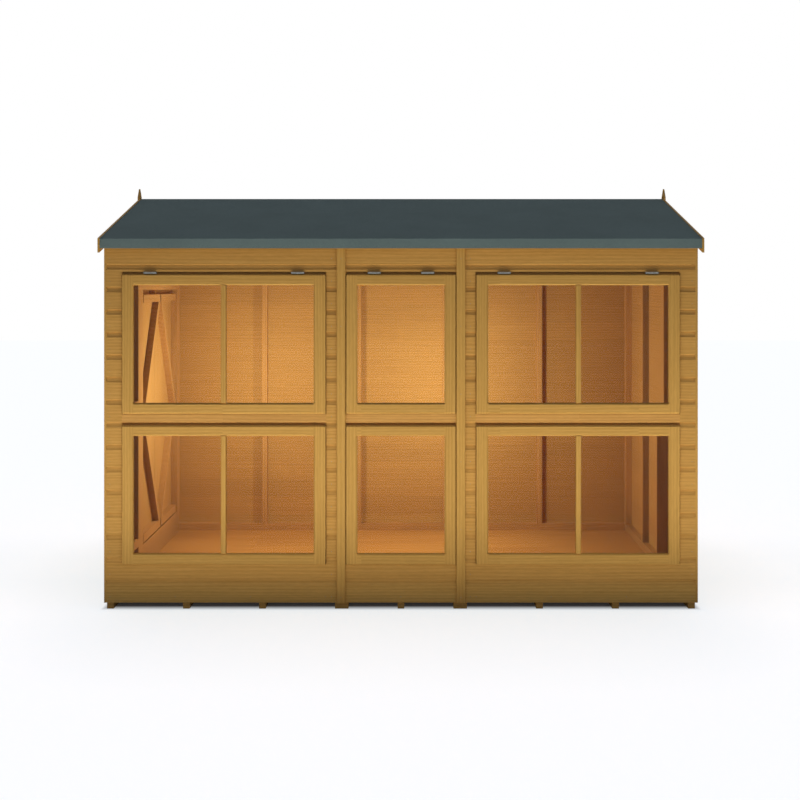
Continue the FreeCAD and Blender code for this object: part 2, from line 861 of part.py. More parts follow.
left_frame.append(framing(-gable_frame_half + stud_width, door_jamb_back, stud_foot, door_head))
left_frame.append(framing(door_jamb_back, door_jamb_front, stud_foot, plinth_top + frame_lap))
left_frame.append(framing(-gable_frame_half + stud_width, gable_joint - stud_width,
                          door_head, door_head + rail_height))
left_frame.append(sloped_stud(door_meeting - stud_width / 2, door_meeting + stud_width / 2,
                              door_head + rail_height))
save("left_gable_frame", on_wall(left_frame, left_gable))
left_boards = []
window_opening = (gable_window_left - window_clearance, gable_board_half, window_bottom, opening_top)
door_opening = (-gable_board_half, gable_joint, plinth_top, door_top + door_bottom_gap)
left_boards.extend(shiplap_panel(gable_joint, gable_board_half, [window_opening], full_height))
left_boards.extend(shiplap_panel(-gable_board_half, gable_joint, [door_opening], full_height))
left_boards = gable_trimmed(left_boards)
save("left_gable_shiplap", on_wall(left_boards, left_gable))
door_sides = []
for u0, u1 in ((-gable_board_half, door_edge_back), (door_edge_front, gable_joint)):
    door_sides.append(box(u0, u1, 0, cladding_thickness, plinth_top, door_top + door_bottom_gap))
save("door_side_boards", on_wall(door_sides, left_gable))
glazed_unit("gable", left_gable, gable_window_left, gable_window_right, narrow_stiles, 0)
save("lower_window_panes", lower_window_panes)
save("sash_hinge_plates", sash_hinge_plates)
save("sash_hinge_pins", sash_hinge_pins)
save("stay_pegs", stay_pegs)

# Doors: the front leaf carries the turn button
leaves = (
    ("front", door_edge_front - door_side_gap, door_meeting + door_meeting_gap / 2, 1),
    ("back", door_edge_back + door_side_gap, door_meeting - door_meeting_gap / 2, -1),
)
tee_plates = []
tee_pins = []
for name, hinge_edge, meeting_edge, side in leaves:
    axis = hinge_edge + side * door_side_gap / 2
    fittings = []
    for middle in (door_bottom + tee_end_margin, door_top - tee_end_margin):
        strap, plate, pin = tee_hinge(axis, side, middle)
        fittings.append(strap)
        tee_plates.append(plate)
        tee_pins.append(pin)
    if name == "front":
        button, screw = turn_button(meeting_edge + button_edge_margin)
        fittings.append(screw)
        save("turn_button", on_wall([button], left_gable))
    save("door_" + name + "_boards", on_wall(door_leaf(hinge_edge, meeting_edge), left_gable))
    save("door_" + name + "_bracing", on_wall(door_bracing(hinge_edge, meeting_edge), left_gable))
    save("door_" + name + "_fittings", on_wall(fittings, left_gable))
save("door_hinge_plates", on_wall(tee_plates, left_gable))
save("door_hinge_pins", on_wall(tee_pins, left_gable))

# Trims over the panel joints and the corners
strip_top = deck_underside(eave_inner) - eave_batten_height
strip_centre = joint + front_strip_offset
front_strips = [cover_strip(-strip_centre, strip_top), cover_strip(strip_centre, strip_top)]
back_strips = [cover_strip(-joint, strip_top), cover_strip(joint, strip_top)]
barge_soffit = felt_top(gable_joint + cover_strip_width / 2) + barge_proud - barge_depth
gable_strip_top = barge_soffit - strip_soffit_gap
save("cover_strips", on_wall(front_strips, front_wall) + on_wall(back_strips, back_wall)
     + on_wall([cover_strip(right_joint, gable_strip_top)], right_gable)
     + on_wall([cover_strip(gable_joint, gable_strip_top)], left_gable))
trims = []
for end in (-1, 1):
    for side in (-1, 1):
        x0, x1 = sorted((end * frame_half_length, end * half_length))
        y0, y1 = sorted((side * gable_board_half, side * half_depth))
        trims.append(box(x0, x1, y0, y1, cladding_bottom, wall_height))
save("corner_trims", trims)

# Roof: trusses over the panel joints, deck, felt, bargeboards and finials
trusses = []
for centre in (-joint, joint):
    x0 = centre - rafter_width / 2
    x1 = centre + rafter_width / 2
    for side in (-1, 1):
        trusses.append(prism_x(sloping_member(side * gable_frame_half, 0), x0, x1))
    gusset_bottom = deck_underside(gusset_half_width) - gusset_drop
    gusset = [
        (-gusset_half_width, gusset_bottom),
        (gusset_half_width, gusset_bottom),
        (gusset_half_width, deck_underside(gusset_half_width)),
        (0, deck_underside(0)),
        (-gusset_half_width, deck_underside(gusset_half_width)),
    ]
    trusses.append(prism_x(gusset, x1, x1 + gusset_thickness))
save("roof_trusses", trusses)
save("roof_deck_front", roof_panels(-1))
save("roof_deck_back", roof_panels(1))
save("roof_felt_front", [prism_x(felt_outline(-1, felt_ridge_lap), -deck_half_length, deck_half_length)])
save("roof_felt_back", [prism_x(felt_outline(1, felt_ridge_lap), -deck_half_length, deck_half_length)])
for end, end_name in ((-1, "left"), (1, "right")):
    for side, side_name in ((-1, "front"), (1, "back")):
        save("bargeboard_" + end_name + "_" + side_name, [bargeboard(side, end)])
save("finials", [finial(-1), finial(1)])
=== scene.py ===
import math

import bmesh
import bpy
from mathutils import Matrix, Vector


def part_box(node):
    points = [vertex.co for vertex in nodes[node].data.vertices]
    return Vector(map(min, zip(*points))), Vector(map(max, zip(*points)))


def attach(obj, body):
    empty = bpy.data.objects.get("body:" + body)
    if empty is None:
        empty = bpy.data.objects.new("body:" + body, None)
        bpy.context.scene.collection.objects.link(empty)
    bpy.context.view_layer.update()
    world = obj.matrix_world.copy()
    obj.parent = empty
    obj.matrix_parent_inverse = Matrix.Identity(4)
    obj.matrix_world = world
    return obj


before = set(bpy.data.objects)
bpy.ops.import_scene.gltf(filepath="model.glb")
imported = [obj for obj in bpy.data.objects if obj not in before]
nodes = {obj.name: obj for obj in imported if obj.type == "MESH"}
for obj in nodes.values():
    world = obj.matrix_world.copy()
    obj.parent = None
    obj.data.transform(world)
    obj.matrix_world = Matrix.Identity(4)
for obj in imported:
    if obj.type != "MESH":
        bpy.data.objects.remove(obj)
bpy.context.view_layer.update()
print("frame loaded:", len(nodes), "nodes")


# small helpers for node trees

def addNode(tree, kind, **settings):
    made = tree.nodes.new("ShaderNode" + kind)
    for key, value in settings.items():
        setattr(made, key, value)
    return made


def feed(tree, socket, value):  # a socket is linked, a plain value is set
    if isinstance(value, bpy.types.NodeSocket):
        tree.links.new(value, socket)
    else:
        socket.default_value = value


def calc(tree, operation, *values, clamp=False):
    made = addNode(tree, "Math", operation=operation, use_clamp=clamp)
    for socket, value in zip(made.inputs, values):
        feed(tree, socket, value)
    return made.outputs[0]


def mixColour(tree, factor, first, second, blend="MIX"):
    made = addNode(tree, "Mix", data_type="RGBA", blend_type=blend)
    feed(tree, made.inputs["Factor"], factor)
    feed(tree, made.inputs[6], first)
    feed(tree, made.inputs[7], second)
    return made.outputs[2]


def mixVector(tree, factor, first, second):
    made = addNode(tree, "Mix", data_type="VECTOR")
    feed(tree, made.inputs["Factor"], factor)
    feed(tree, made.inputs[4], first)
    feed(tree, made.inputs[5], second)
    return made.outputs[1]


def spread(tree, value, low, high, toLow, toHigh):  # map range with ends held
    made = addNode(tree, "MapRange", clamp=True)
    for socket, number in zip(made.inputs, (value, low, high, toLow, toHigh)):
        feed(tree, socket, number)
    return made.outputs[0]


def joinXyz(tree, x, y, z):
    made = addNode(tree, "CombineXYZ")
    for socket, value in zip(made.inputs, (x, y, z)):
        feed(tree, socket, value)
    return made.outputs[0]


def stretched(tree, vector, scale):
    made = addNode(tree, "Mapping")
    feed(tree, made.inputs["Vector"], vector)
    made.inputs["Scale"].default_value = scale
    return made.outputs[0]


def noise(tree, vector, scale, detail, roughness):
    made = addNode(tree, "TexNoise")
    feed(tree, made.inputs["Vector"], vector)
    made.inputs["Scale"].default_value = scale
    made.inputs["Detail"].default_value = detail
    made.inputs["Roughness"].default_value = roughness
    return made.outputs["Fac"]


def newGroup(name, inputs, outputs):
    tree = bpy.data.node_groups.new(name, "ShaderNodeTree")
    for socket, kind in inputs:
        tree.interface.new_socket(socket, in_out="INPUT", socket_type="NodeSocket" + kind)
    for socket, kind in outputs:
        tree.interface.new_socket(socket, in_out="OUTPUT", socket_type="NodeSocket" + kind)
    return tree, tree.nodes.new("NodeGroupInput").outputs, tree.nodes.new("NodeGroupOutput").inputs


def useGroup(tree, group, **inputs):
    made = addNode(tree, "Group", node_tree=group)
    for name, value in inputs.items():
        feed(tree, made.inputs[name], value)
    return made.outputs


def newMaterial(name):
    material = bpy.data.materials.new(name)
    material.use_nodes = True
    tree = material.node_tree
    return material, tree, tree.nodes["Principled BSDF"]


def addRelief(tree, shader, look, height):
    bump = addNode(tree, "Bump")
    bump.inputs["Strength"].default_value = look["bump"]
    bump.inputs["Distance"].default_value = look["relief"]
    feed(tree, bump.inputs["Height"], height)
    feed(tree, shader.inputs["Normal"], bump.outputs[0])


def linear(red, green, blue):  # 0 to 255 as seen on screen, to a socket colour
    def channel(value):
        share = value / 255
        return share / 12.92 if share <= 0.04045 else ((share + 0.055) / 1.055) ** 2.4
    return (channel(red), channel(green), channel(blue), 1.0)


# grain of sawn and planed softwood, along the group's own X

grainSettings = {
    "streak": {"stretch": (2.6, 95.0, 95.0), "detail": 4.0, "roughness": 0.62},  # long streaks
    "fibre": {"stretch": (22.0, 300.0, 300.0), "detail": 3.0, "roughness": 0.7},  # short fibres
    "figure": (0.6, 12.0, 12.0),  # slow wandering rings
    "rings": {"Scale": 1.6, "Distortion": 7.0, "Detail": 3.0, "Detail Scale": 0.8},
    "ringShare": 0.28, "streakRange": (0.28, 0.72), "fibreRange": (0.3, 0.7), "fibreHeight": 0.6,
    "shift": (3.7, 1.9, 2.3),  # how far a board's own number moves its grain
}


def grainNoise(tree, place, look):
    return noise(tree, stretched(tree, place, look["stretch"]), 1.0, look["detail"], look["roughness"])


def makeGrainGroup(look):
    tree, given, out = newGroup(
        "boardGrain",
        (("Vector", "Vector"), ("Shift", "Float")),
        (("Streak", "Float"), ("Fibre", "Float"), ("Height", "Float")))
    offset = joinXyz(tree, *(calc(tree, "MULTIPLY", given["Shift"], part) for part in look["shift"]))
    moved = addNode(tree, "VectorMath", operation="ADD")
    feed(tree, moved.inputs[0], given["Vector"])
    feed(tree, moved.inputs[1], offset)
    place = moved.outputs[0]
    streaks = grainNoise(tree, place, look["streak"])
    fine = grainNoise(tree, place, look["fibre"])
    rings = addNode(tree, "TexWave", wave_type="BANDS", bands_direction="Y", wave_profile="SIN")
    feed(tree, rings.inputs["Vector"], stretched(tree, place, look["figure"]))
    for name, value in look["rings"].items():
        rings.inputs[name].default_value = value
    ringPart = calc(tree, "MULTIPLY", rings.outputs["Fac"], look["ringShare"])
    streak = calc(tree, "MULTIPLY_ADD", streaks, 1.0 - look["ringShare"], ringPart)
    streakHeight = calc(tree, "MULTIPLY", streak, 1.0 - look["fibreHeight"])
    feed(tree, out["Streak"], spread(tree, streak, *look["streakRange"], 0.0, 1.0))
    feed(tree, out["Fibre"], spread(tree, fine, *look["fibreRange"], 0.0, 1.0))
    feed(tree, out["Height"], calc(tree, "MULTIPLY_ADD", fine, look["fibreHeight"], streakHeight))
    return tree


sortSettings = {"panelStep": 17.3, "shiftReach": 6.0}  # sets the panels' boards and their grain apart


def makeSortGroup(look):  # one number for each board, from its place in a row of boards
    tree, given, out = newGroup(
        "boardSort",
        (("Place", "Float"), ("Start", "Float"), ("Pitch", "Float"), ("Panel", "Float")),
        (("Tone", "Float"), ("Shift", "Float")))
    reach = calc(tree, "SUBTRACT", given["Place"], given["Start"])
    row = calc(tree, "FLOOR", calc(tree, "DIVIDE", reach, given["Pitch"]))
    number = calc(tree, "MULTIPLY_ADD", given["Panel"], look["panelStep"], row)
    picked = addNode(tree, "TexWhiteNoise", noise_dimensions="1D")
    feed(tree, picked.inputs["W"], number)
    feed(tree, out["Tone"], picked.outputs["Value"])
    feed(tree, out["Shift"], calc(tree, "MULTIPLY", picked.outputs["Value"], look["shiftReach"]))
    return tree


grainGroup = makeGrainGroup(grainSettings)
sortGroup = makeSortGroup(sortSettings)


# timber finishes, some with painted light and shade

timberSurface = {"fibreDeep": 0.5, "fibrePale": 0.3, "sheen": 0.25}  # shares of fibreShare, and the gloss
cladding = {
    "dark": linear(183, 133, 61), "mid": linear(192, 142, 68), "light": linear(199, 149, 74),
    "toneSpread": 0.04, "fibreShare": 0.24, "rough": (0.62, 0.80), "bump": 0.20, "relief": 0.0012,
    "paintedFootLightAndShade": (1.10, 1.22, 1.30, 1.0), "footHeights": (0.045, 0.16),  # painted light, paler and bluer next to the ground
}
joinery = {
    "dark": linear(181, 135, 62), "mid": linear(190, 143, 68), "light": linear(196, 150, 74),
    "toneSpread": 0.03, "fibreShare": 0.22, "rough": (0.55, 0.74), "bump": 0.14, "relief": 0.0010,
}
framing = {
    "dark": linear(184, 132, 64), "mid": linear(194, 142, 71), "light": linear(202, 151, 78),
    "toneSpread": 0.03, "fibreShare": 0.24, "rough": (0.60, 0.80), "bump": 0.16, "relief": 0.0010,
}
endFramingPaintedShade = {  # painted shade: the sides that look to the front, up to a depth, are painted darker and greyer
    **framing, "front": (0.79, 0.94, 1.3, 1.0), "frontTurn": -0.5, "frontDepth": 0.285,
    "paintedFootLightAndShade": (0.84, 0.86, 0.87, 1.0), "footHeights": (0.12, 0.18),  # painted shade, darker next to the floor
}
flooring = {
    "dark": linear(188, 131, 57), "mid": linear(198, 141, 64), "light": linear(206, 150, 70),
    "toneSpread": 0.03, "fibreShare": 0.24, "rough": (0.60, 0.80), "bump": 0.16, "relief": 0.0010,
    "paintedEndShade": (0.86, 0.88, 0.90, 1.0), "endSpan": (0.55, 1.5), "middle": -0.2,  # painted shade, darker to both ends
}
roofBoard = {
    "dark": linear(140, 108, 62), "mid": linear(152, 119, 70), "light": linear(163, 130, 80),
    "toneSpread": 0.05, "fibreShare": 0.3, "rough": (0.70, 0.86), "bump": 0.22, "relief": 0.0012,
}


def timber(name, look, runs, upright, row, panel=None):
    # runs is the level direction of the grain, upright a mask of pieces whose grain stands
    material, tree, shader = newMaterial(name)
    seen = addNode(tree, "TexCoord").outputs
    parts = addNode(tree, "SeparateXYZ")
    feed(tree, parts.inputs[0], seen["Object"])
    x, y, z = parts.outputs
    along, across = (x, y) if runs == "x" else (y, x)
    lying = joinXyz(tree, along, z, across)
    standing = joinXyz(tree, z, along, across)
    grainWay = mixVector(tree, upright(tree, along, z), lying, standing)
    place, start, pitch = row(along, z)
    wall = panel(tree, along) if panel else 0.0
    sort = useGroup(tree, sortGroup, Place=place, Start=start, Pitch=pitch, Panel=wall)
    grain = useGroup(tree, grainGroup, Vector=grainWay, Shift=sort["Shift"])
    base = mixColour(tree, spread(tree, grain["Streak"], 0.0, 0.5, 0.0, 1.0), look["dark"], look["mid"])
    base = mixColour(tree, spread(tree, grain["Streak"], 0.5, 1.0, 0.0, 1.0), base, look["light"])
    shade = spread(tree, sort["Tone"], 0.0, 1.0, 1.0 - look["toneSpread"], 1.0 + look["toneSpread"])
    deep = 1.0 - look["fibreShare"] * timberSurface["fibreDeep"]
    pale = 1.0 + look["fibreShare"] * timberSurface["fibrePale"]
    shade = calc(tree, "MULTIPLY", shade, spread(tree, grain["Fibre"], 0.0, 1.0, deep, pale))
    base = mixColour(tree, 1.0, base, joinXyz(tree, shade, shade, shade), "MULTIPLY")
    # painted light and shade next to the ground: paler on the cladding, darker on the end framing
    if "paintedFootLightAndShade" in look:
        paintedFootMask = spread(tree, z, *look["footHeights"], 1.0, 0.0)
        base = mixColour(tree, paintedFootMask, base, look["paintedFootLightAndShade"], "MULTIPLY")
    # painted shade, darker towards both ends of the floor
    if "paintedEndShade" in look:
        reach = calc(tree, "ABSOLUTE", calc(tree, "SUBTRACT", along, look["middle"]))
        paintedEndShadeMask = spread(tree, reach, *look["endSpan"], 0.0, 1.0)
        base = mixColour(tree, paintedEndShadeMask, base, look["paintedEndShade"], "MULTIPLY")
    # painted shade on the sides that look to the front, up to a depth
    if "front" in look:
        turned = addNode(tree, "SeparateXYZ")
        feed(tree, turned.inputs[0], seen["Normal"])
        paintedFrontShade = calc(tree, "LESS_THAN", turned.outputs["Y"], look["frontTurn"])
        paintedFrontShade = calc(tree, "MULTIPLY", paintedFrontShade, calc(tree, "LESS_THAN", y, look["frontDepth"]))
        base = mixColour(tree, paintedFrontShade, base, look["front"], "MULTIPLY")
    feed(tree, shader.inputs["Base Color"], base)
    smooth, rough = look["rough"]
    feed(tree, shader.inputs["Roughness"], spread(tree, grain["Fibre"], 0.0, 1.0, rough, smooth))
    shader.inputs["Specular IOR Level"].default_value = timberSurface["sheen"]
    addRelief(tree, shader, look, grain["Height"])
    return material


def within(tree, value, low, high):
    reach = calc(tree, "ABSOLUTE", calc(tree, "SUBTRACT", value, (low + high) / 2))
    return calc(tree, "LESS_THAN", reach, (high - low) / 2)


def noneUpright(tree, along, z):
    return 0.0


def allUpright(tree, along, z):
    return 1.0


def stilesUpright(start, end, bar):  # the stiles on both sides of the glass, and the bar in it
    def mask(tree, along, z):
        atStile = calc(tree, "SUBTRACT", 1.0, within(tree, along, start, end))
        middle = (start + end) / 2
        atBar = within(tree, along, middle - bar / 2, middle + bar / 2)
        atGlass = calc(tree, "MAXIMUM", *(within(tree, z, low, high) for low, high in glassHeights))
        return calc(tree, "MAXIMUM", atStile, calc(tree, "MULTIPLY", atBar, atGlass))
    return mask


def studsUpright(*rails):  # rails lie at the given heights, the studs between them stand
    def mask(tree, along, z):
        standing = calc(tree, "GREATER_THAN", z, framingHeights["footTop"])
        for low, high in rails:
            clear = calc(tree, "SUBTRACT", 1.0, within(tree, z, low, high))
            standing = calc(tree, "MULTIPLY", standing, clear)
        return standing
    return mask


def bracesUpright(tree, along, z):  # the two ledges lie, the braces between them stand
    return within(tree, z, *doorBraces["heights"])


def boardRows(along, z):
    return z, shiplapRows["start"], shiplapRows["pitch"]


def wallPanels(tree, along):  # 0 for the middle panel, 1 for the left one and 2 for the right one
    left = calc(tree, "LESS_THAN", along, -shiplapRows["joint"])
    right = calc(tree, "GREATER_THAN", along, shiplapRows["joint"])
    return calc(tree, "ADD", left, calc(tree, "MULTIPLY", right, 2.0))


def rowsAlong(pitch, start):  # pieces side by side along a wall, one tone in each pitch
    def row(along, z):
        return along, start, pitch
    return row


shiplapRows = {"start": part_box("front_shiplap")[0].z, "pitch": 0.1139, "joint": 0.3}
framingHeights = {
    "footTop": 0.09, "sill": (0.19, 0.242), "transom": (0.905, 1.002), "head": (1.675, 1.725),
    "doorHead": (1.607, 1.662), "top": (1.81, 1.90),
}
doorLow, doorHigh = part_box("door_front_boards")
braceLow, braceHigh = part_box("door_front_bracing")
doorLeaf = {"boards": 5, "ledge": 0.045}
doorBraces = {"heights": (braceLow.z + doorLeaf["ledge"], braceHigh.z - doorLeaf["ledge"])}
doorRows = rowsAlong((doorHigh.y - doorLow.y) / doorLeaf["boards"], doorLow.y)
pieceRows = {  # pitch and start of the rows that share a tone
    "trim": (0.3, -3.0), "panel": (0.6, -3.3), "backStud": (0.15, -3.0), "gableStud": (0.2, -3.0),
    "bearer": (5.0, -2.5), "brace": (0.4, -3.0), "barge": (0.9, -2.7), "window": (0.7, -3.0),
}
toneRows = {piece: rowsAlong(*row) for piece, row in pieceRows.items()}
glassHeights = [(low.z, high.z) for low, high in map(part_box, ("lower_window_panes", "sash_panes_centre"))]
windowBars = {"left": 0.027, "centre": 0.0, "right": 0.027, "gable": 0.0}  # width of the bar in the glass

longCladding = timber("longWallCladding", cladding, "x", noneUpright, boardRows, wallPanels)
gableCladding = timber("gableCladding", cladding, "y", noneUpright, boardRows)
longTrim = timber("longWallTrim", joinery, "x", allUpright, toneRows["trim"])
gableTrim = timber("gableTrim", joinery, "y", allUpright, toneRows["trim"])
windowRails = [framingHeights[rail] for rail in ("sill", "transom", "head", "top")]
frontFraming = timber("frontWallFraming", framing, "x", studsUpright(*windowRails), toneRows["panel"])
backStuds = studsUpright(framingHeights["top"])
doorStuds = studsUpright(framingHeights["doorHead"])
backFraming = timber("backWallFraming", framing, "x", backStuds, toneRows["backStud"])
doorFraming = timber("doorEndFraming", endFramingPaintedShade, "y", doorStuds, toneRows["gableStud"])
gableFraming = timber("gableFraming", endFramingPaintedShade, "y", studsUpright(), toneRows["gableStud"])
floorBoarding = timber("floorBoarding", flooring, "x", noneUpright, toneRows["panel"])
bearerTimber = timber("bearerTimber", joinery, "y", noneUpright, toneRows["bearer"])
doorBoarding = timber("doorBoarding", cladding, "y", allUpright, doorRows)
doorBracing = timber("doorBracing", endFramingPaintedShade, "y", bracesUpright, toneRows["brace"])
roofBoarding = timber("roofBoarding", roofBoard, "x", noneUpright, toneRows["panel"])
bargeTimber = timber("bargeTimber", joinery, "y", noneUpright, toneRows["barge"])
windowTimber = {}
for side, bar in windowBars.items():
    low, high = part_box("sash_panes_" + side)
    runs = "y" if side == "gable" else "x"
    start, end = (low.y, high.y) if side == "gable" else (low.x, high.x)
    mask = stilesUpright(start, end, bar)
    windowTimber[side] = timber(side + "WindowTimber", joinery, runs, mask, toneRows["window"])
print("timber made, with", len(windowTimber), "finishes for the windows")


# mineral felt, zinc plated steel and glass

felt = {
    "dark": linear(83, 98, 95), "mid": linear(105, 120, 112), "light": linear(136, 150, 138),
    "granule": 900.0, "evenness": 0.55, "rough": (0.86, 0.98), "bump": 0.5, "relief": 0.0012, "sheen": 0.2,
    "mottle": (3.0, 5.0, 0.6),  # scale, detail and roughness of the noise
    "mottleRange": (0.3, 0.7), "mottleShade": (0.92, 1.06),
}


def makeFelt(look):
    material, tree, shader = newMaterial("mineralFelt")
    seen = addNode(tree, "TexCoord").outputs["Object"]
    grit = addNode(tree, "TexVoronoi", feature="F1")
    feed(tree, grit.inputs["Vector"], seen)
    grit.inputs["Scale"].default_value = look["granule"]
    mottle = noise(tree, seen, *look["mottle"])
    tone = addNode(tree, "SeparateColor")
    feed(tree, tone.inputs[0], grit.outputs["Color"])
    base = mixColour(tree, tone.outputs[0], look["dark"], look["light"])
    base = mixColour(tree, look["evenness"], base, look["mid"])
    shade = spread(tree, mottle, *look["mottleRange"], *look["mottleShade"])
    base = mixColour(tree, 1.0, base, joinXyz(tree, shade, shade, shade), "MULTIPLY")
    feed(tree, shader.inputs["Base Color"], base)
    feed(tree, shader.inputs["Roughness"], spread(tree, tone.outputs[1], 0.0, 1.0, *look["rough"]))
    shader.inputs["Specular IOR Level"].default_value = look["sheen"]
    addRelief(tree, shader, look, tone.outputs[2])
    return material


zinc = {
    "bright": linear(160, 161, 155), "dull": linear(124, 125, 121), "spangle": 180.0, "metallic": 0.85,
    "cloud": (45.0, 4.0, 0.6),  # scale, detail and roughness of the noise
    "cloudRange": (0.3, 0.7), "rough": (0.32, 0.55), "bump": 0.08, "relief": 0.0004,
}


def makeZinc(look):
    material, tree, shader = newMaterial("zincPlate")
    seen = addNode(tree, "TexCoord").outputs["Object"]
    cells = addNode(tree, "TexVoronoi", feature="F1")
    feed(tree, cells.inputs["Vector"], seen)
    cells.inputs["Scale"].default_value = look["spangle"]
    tone = addNode(tree, "SeparateColor")
    feed(tree, tone.inputs[0], cells.outputs["Color"])
    cloud = noise(tree, seen, *look["cloud"])
    feed(tree, shader.inputs["Base Color"], mixColour(tree, tone.outputs[0], look["dull"], look["bright"]))
    feed(tree, shader.inputs["Roughness"], spread(tree, cloud, *look["cloudRange"], *look["rough"]))
    shader.inputs["Metallic"].default_value = look["metallic"]
    addRelief(tree, shader, look, cloud)
    return material


glazing = {
    "tint": (0.985, 0.99, 0.985, 1.0), "index": 1.18, "haze": (0.0, 0.012),
    "smear": (2.0, 2.0, 5.0), "smearNoise": (2.0, 4.0, 0.6),  # stretch, then scale, detail and roughness
    "smearRange": (0.45, 0.8),
}


def makeGlazing(look):
    material, tree, shader = newMaterial("clearGlazing")
    seen = addNode(tree, "TexCoord").outputs["Object"]
    smears = noise(tree, stretched(tree, seen, look["smear"]), *look["smearNoise"])
    shader.inputs["Base Color"].default_value = look["tint"]
    shader.inputs["Transmission Weight"].default_value = 1.0
    shader.inputs["IOR"].default_value = look["index"]
    feed(tree, shader.inputs["Roughness"], spread(tree, smears, *look["smearRange"], *look["haze"]))
    return material


feltFinish = makeFelt(felt)
zincFinish = makeZinc(zinc)
glazingFinish = makeGlazing(glazing)
print("felt, zinc and glazing made")


# finishes on the framed pieces, the first matching start of the name wins

finishes = (
    ("floor_bearers", bearerTimber), ("floor_panel", floorBoarding),
    ("front_frame", frontFraming), ("back_frame", backFraming),
    ("right_gable_frame", gableFraming), ("left_gable_frame", doorFraming),
    ("front_shiplap", longCladding), ("back_shiplap", longCladding),
    ("right_gable_shiplap", gableCladding), ("left_gable_shiplap", gableCladding),
    ("door_side_boards", gableTrim), ("cover_strips", longTrim), ("corner_trims", gableTrim),
    ("lower_window_panes", glazingFinish), ("sash_panes", glazingFinish),
    ("lower_window_left", windowTimber["left"]), ("lower_window_centre", windowTimber["centre"]),
    ("lower_window_right", windowTimber["right"]), ("lower_window_gable", windowTimber["gable"]),
    ("sash_frame_left", windowTimber["left"]), ("sash_frame_centre", windowTimber["centre"]),
    ("sash_frame_right", windowTimber["right"]), ("sash_frame_gable", windowTimber["gable"]),
    ("sash_", zincFinish), ("stay_", zincFinish),
    ("door_front_boards", doorBoarding), ("door_back_boards", doorBoarding),
    ("door_front_bracing", doorBracing), ("door_back_bracing", doorBracing),
    ("door_", zincFinish), ("turn_button", gableTrim),
    ("roof_trusses", gableFraming), ("roof_deck", roofBoarding), ("roof_felt", feltFinish),
    ("bargeboard", bargeTimber), ("finials", gableTrim),
)
for name, node in nodes.items():
    finish = next(material for start, material in finishes if name.startswith(start))
    for slot in node.material_slots:
        slot.material = finish
print("finishes set on", len(nodes), "nodes")


# nail and screw heads, each set on the surface that a line from outside meets first

nailHead = {"radius": 0.0017, "crown": 0.0012, "rise": 0.0006, "rim": 0.0003, "recess": 0.0001, "sides": 8}
screwHead = {"radius": 0.0038, "crown": 0.0029, "rise": 0.0011, "rim": 0.0011, "recess": 0.0006, "sides": 8}
nailing = {  # places along each wall, first on the boards and then on the strips and trims
    "front": ((-1.471, -0.351, 0.351, 1.471), (-0.3025, 0.3025)),
    "back": ((-1.471, -0.894, 0.894, 1.471), (-0.3, 0.3)),
    "right": ((-0.828, 0.278, 0.828), (-0.873, -0.295, 0.873)),
    "left": ((-0.828, -0.36, 0.20, 0.828), (-0.873, -0.295, 0.873)),
    "rise": 0.03, "rows": 18, "stripStep": 3, "footGap": 0.38,
}
sightLine = {"start": 4.0, "square": 0.999}  # how far outside a line starts, and how square it has to meet
outwards = {
    "front": Vector((0.0, -1.0, 0.0)), "back": Vector((0.0, 1.0, 0.0)),
    "right": Vector((1.0, 0.0, 0.0)), "left": Vector((-1.0, 0.0, 0.0)),
}


def newPiece(sheet, name, body, material):
    bmesh.ops.recalc_face_normals(sheet, faces=sheet.faces)
    mesh = bpy.data.meshes.new(name)
    sheet.to_mesh(mesh)
    sheet.free()
    mesh.materials.append(material)
    piece = bpy.data.objects.new(name, mesh)
    bpy.context.scene.collection.objects.link(piece)
    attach(piece, body)
    return piece


def facing(place, outward):
    return Matrix.Translation(place) @ outward.to_track_quat("Z", "Y").to_matrix().to_4x4()


def wallSpot(wall, along, z):
    return Vector((along, 0.0, z)) if wall in ("front", "back") else Vector((0.0, along, z))


def struckFaces(wall, spots, kinds):  # places where flat faces of the named nodes look outwards
    outward = outwards[wall]
    graph = bpy.context.evaluated_depsgraph_get()
    found = []
    for along, z in spots:
        start = wallSpot(wall, along, z) + outward * sightLine["start"]
        hit, place, normal, _, struck, _ = bpy.context.scene.ray_cast(graph, start, -outward)
        flat = hit and normal.dot(outward) > sightLine["square"]
        if flat and any(kind in struck.name for kind in kinds):
            found.append(place)
    return found


def addHeads(sheet, look, places, outward):
    for place in places:
        seat = facing(place + outward * look["rise"] / 2, outward)
        made = bmesh.ops.create_cone(
            sheet, cap_ends=True, segments=look["sides"], radius1=look["radius"], radius2=look["crown"],
            depth=look["rise"], matrix=seat)
        faces = {face for vert in made["verts"] for face in vert.link_faces}
        caps = [face for face in faces if len(face.verts) == look["sides"]]
        crown = max(caps, key=lambda face: face.calc_center_median().dot(outward))
        crown.normal_update()
        bmesh.ops.inset_region(sheet, faces=[crown], thickness=look["rim"], depth=-look["recess"])


def nailSpots(wall):
    columns, strips = nailing[wall]
    heights = [shiplapRows["start"] + row * shiplapRows["pitch"] + nailing["rise"]
               for row in range(nailing["rows"])]
    spots = [(along, z) for along in columns for z in heights]
    spots += [(along, z) for along in strips for z in heights[::nailing["stripStep"]]]
    reach = int(max(columns) / nailing["footGap"])
    return spots + [(step * nailing["footGap"], heights[0]) for step in range(-reach, reach + 1)]


def makeCladdingNails():
    sheet = bmesh.new()
    for wall, outward in outwards.items():
        places = struckFaces(wall, nailSpots(wall), ("shiplap", "cover_strips", "corner_trims"))
        addHeads(sheet, nailHead, places, outward)
    return newPiece(sheet, "claddingNails", "shed", zincFinish)


doorNails = {"ledges": (0.211, 1.563), "spacing": 0.022}
teeScrews = {
    "middles": (0.2999, 1.474), "strap": (0.04, 0.12, 0.20, 0.285), "plate": 0.0165,
    "plateRise": (-0.043, -0.030, 0.030, 0.043), "axes": {"front": -0.2405, "back": 0.7755},
}


